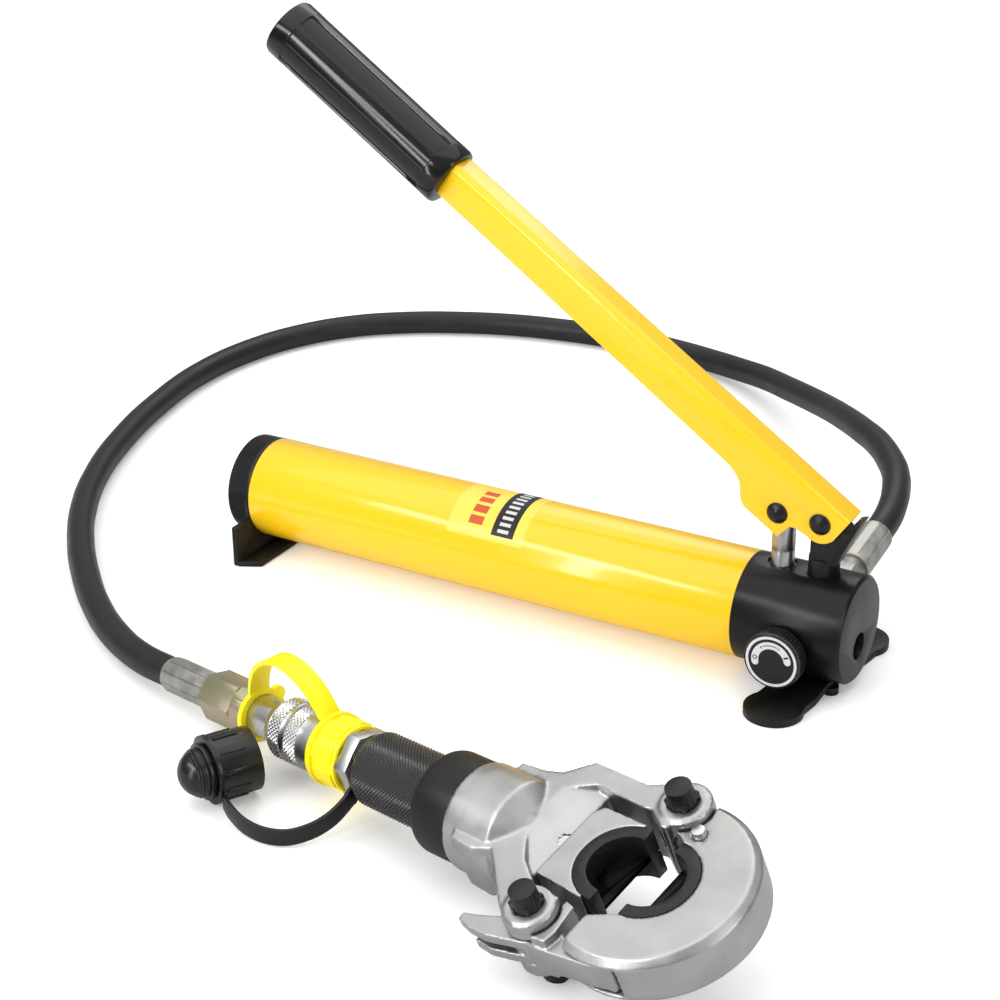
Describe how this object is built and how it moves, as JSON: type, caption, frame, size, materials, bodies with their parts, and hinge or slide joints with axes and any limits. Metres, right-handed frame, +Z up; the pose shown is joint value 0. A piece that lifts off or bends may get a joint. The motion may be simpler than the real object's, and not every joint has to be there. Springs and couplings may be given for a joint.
{
  "type": "hydraulic pipe press set",
  "caption": "Hand-pumped hydraulic pipe press: lever pump and barrel, hose, screw coupler and a flip-top C-shaped head with two half-round dies.",
  "frame": {"origin": "on the floor, at the middle of the underside of the pump's front foot, below the barrel's centre line", "axes": "+X along the pump barrel towards the valve block, +Z up, +Y towards the outlet port and away from the press head"},
  "size_m": [0.6238, 0.6931, 0.3187],
  "materials": {
    "block_black": "satin black anodised",
    "paint_yellow": "glossy yellow paint",
    "cap_black": "knurled satin black",
    "seal": "matt",
    "steel": "ground",
    "foot_black": "satin black paint",
    "oxide_black": "black oxide",
    "grip_black": "gloss black, fluted",
    "dial": "printed dial",
    "zinc_dull": "dull zinc",
    "zinc_yellow": "yellow zinc passivate",
    "hose_rubber": "satin dark grey",
    "nickel": "satin nickel",
    "cap_yellow": "soft lemon yellow vinyl",
    "cap_plastic": "black moulded",
    "forged": "satin nickel over a forging",
    "knurl_black": "knurled black",
    "rubber_black": "smooth"
  },
  "bodies": {
    "set": {"pump_block": "block_black", "reservoir_barrel": "paint_yellow", "rear_end_cap": "cap_black", "block_seal_ring": "seal", "cap_seal_ring": "seal", "tie_rod": "steel", "tie_rod_nut": "steel", "breather_plug": "rubber_black", "suction_strainer": "steel", "suction_ball": "steel", "delivery_ball": "steel", "front_foot": "foot_black", "front_foot_screws": "oxide_black", "rear_foot": "foot_black", "fulcrum_bracket": "foot_black", "fulcrum_pin": "oxide_black", "rod_gland": "oxide_black", "rod_seal": "seal", "release_ball": "steel", "relief_ball": "steel", "relief_spring": "steel", "relief_screw": "oxide_black", "outlet_nut": "zinc_dull", "pump_ferrule": "zinc_dull", "hose": "hose_rubber", "coupler_ferrule": "zinc_dull", "hose_nut": "zinc_yellow", "coupler_socket": "nickel", "socket_poppet": "steel", "coupler_plug": "nickel", "plug_poppet": "steel", "yellow_cap": "cap_yellow", "yellow_strap": "cap_yellow", "black_cap": "cap_plastic", "black_cap_strap": "cap_plastic", "head_cylinder": "knurl_black", "rubber_collar": "rubber_black", "head_fork": "forged", "ram_return_spring": "steel", "hinge_pin": "oxide_black", "latch_pin": "oxide_black"},
    "lever": {"lever_arm": "paint_yellow", "lever_grip": "grip_black", "piston_pin": "oxide_black"},
    "piston": {"piston_rod": "steel"},
    "release_knob": {"release_knob": "knurl_black", "release_dial": "dial", "release_spindle": "steel"},
    "lock_collar": {"lock_collar": "nickel"},
    "ram": {"ram": "steel", "ram_seal": "seal", "moving_jaw": "forged", "moving_die": "oxide_black"},
    "c_head": {"c_head": "forged", "fixed_die": "oxide_black"},
    "latch": {"latch": "forged"},
    "die_lock_button": {"die_lock_button": "nickel"}
  },
  "joints": [
    {"name": "lever_pivot", "type": "hinge", "parent": "set", "child": "lever", "pos_m": [0.002, 0, 0.092], "axis": [0, -1, 0], "range_deg": [-8, 24]},
    {"name": "piston_stroke", "type": "slide", "parent": "set", "child": "piston", "axis": [0, 0, -1], "range_m": [-0.0035, 0.0098]},
    {"name": "release_knob_turn", "type": "hinge", "parent": "set", "child": "release_knob", "pos_m": [-0.0076, -0.0351, 0.0269], "axis": [0, -1, 0], "range_deg": [0, 120]},
    {"name": "lock_collar_turn", "type": "hinge", "parent": "set", "child": "lock_collar", "pos_m": [-0.17324, -0.20499, 0.02194], "axis": [0.9607, -0.2646, 0.0837], "continuous": true},
    {"name": "ram_stroke", "type": "slide", "parent": "set", "child": "ram", "axis": [0.9607, -0.2646, 0.0837], "range_m": [0, 0.0152], "stiffness_N_per_m": 600, "springref_m": -0.01},
    {"name": "c_head_swing", "type": "hinge", "parent": "set", "child": "c_head", "pos_m": [0.03865, -0.22743, 0.05177], "axis": [-0.1639, -0.2977, 0.9405], "range_deg": [0, 50]},
    {"name": "latch_swing", "type": "hinge", "parent": "set", "child": "latch", "pos_m": [0.00005, -0.28894, 0.02557], "axis": [0.1639, 0.2977, -0.9405], "range_deg": [0, 20]},
    {"name": "die_lock_press", "type": "slide", "parent": "c_head", "child": "die_lock_button", "axis": [0.1639, 0.2977, -0.9405], "range_m": [0, 0.002], "stiffness_N_per_m": 300, "springref_m": -0.001}
  ],
  "couplings": [
    {"joint": "piston_stroke", "follows": "lever_pivot", "m_per_rad": 0.0227},
    {"joint": "latch_swing", "follows": "c_head_swing", "ratio": 0.4}
  ]
}
